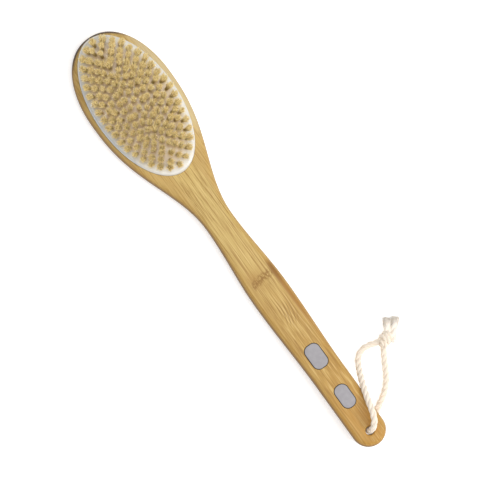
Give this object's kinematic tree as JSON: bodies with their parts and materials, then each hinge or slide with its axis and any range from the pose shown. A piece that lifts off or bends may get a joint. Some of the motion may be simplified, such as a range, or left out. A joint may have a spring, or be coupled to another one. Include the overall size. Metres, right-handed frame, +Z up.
{
  "type": "body dry brush",
  "caption": "Long-handled body dry brush: bamboo board with an oval pad of fanned bristle tufts, two soft grip inserts and a knotted hanging cord that swings.",
  "frame": {"origin": "middle of the base of the brush, lying on its flat back with the bristles up; the hanging cord isn't counted", "axes": "+X along the brush from the head's tip to the handle's end, +Y across it, +Z up through the bristles"},
  "size_m": [0.4, 0.1126, 0.0326],
  "materials": {
    "bamboo": "fine-sanded laminated bamboo with a thin satin oil",
    "pad": "glossy, slightly translucent white moulded plastic",
    "bristle": "straw-coloured natural bristle",
    "staple": "plain drawn wire",
    "grip_insert": "matt grey soft elastomer",
    "cord": "twisted undyed cotton"
  },
  "bodies": {
    "brush": {"bamboo_board": "bamboo", "bristle_pad": "pad", "tufts_ring_1": "bristle", "tufts_ring_2": "bristle", "tufts_ring_3": "bristle", "tufts_ring_4": "bristle", "tufts_ring_5": "bristle", "tufts_centre_row": "bristle", "staples_ring_1": "staple", "staples_ring_2": "staple", "staples_ring_3": "staple", "staples_ring_4": "staple", "staples_ring_5": "staple", "staples_centre_row": "staple", "upper_grip_insert": "grip_insert", "lower_grip_insert": "grip_insert"},
    "hang_loop": {"hang_cord": "cord", "cord_knot": "cord", "cord_tail_inner": "cord", "cord_tail_outer": "cord"}
  },
  "joints": [
    {"name": "loop_swing", "type": "hinge", "parent": "brush", "child": "hang_loop", "pos_m": [0.187, 0, 0.015], "axis": [0, 0, 1], "range_deg": [-260, 0]}
  ]
}
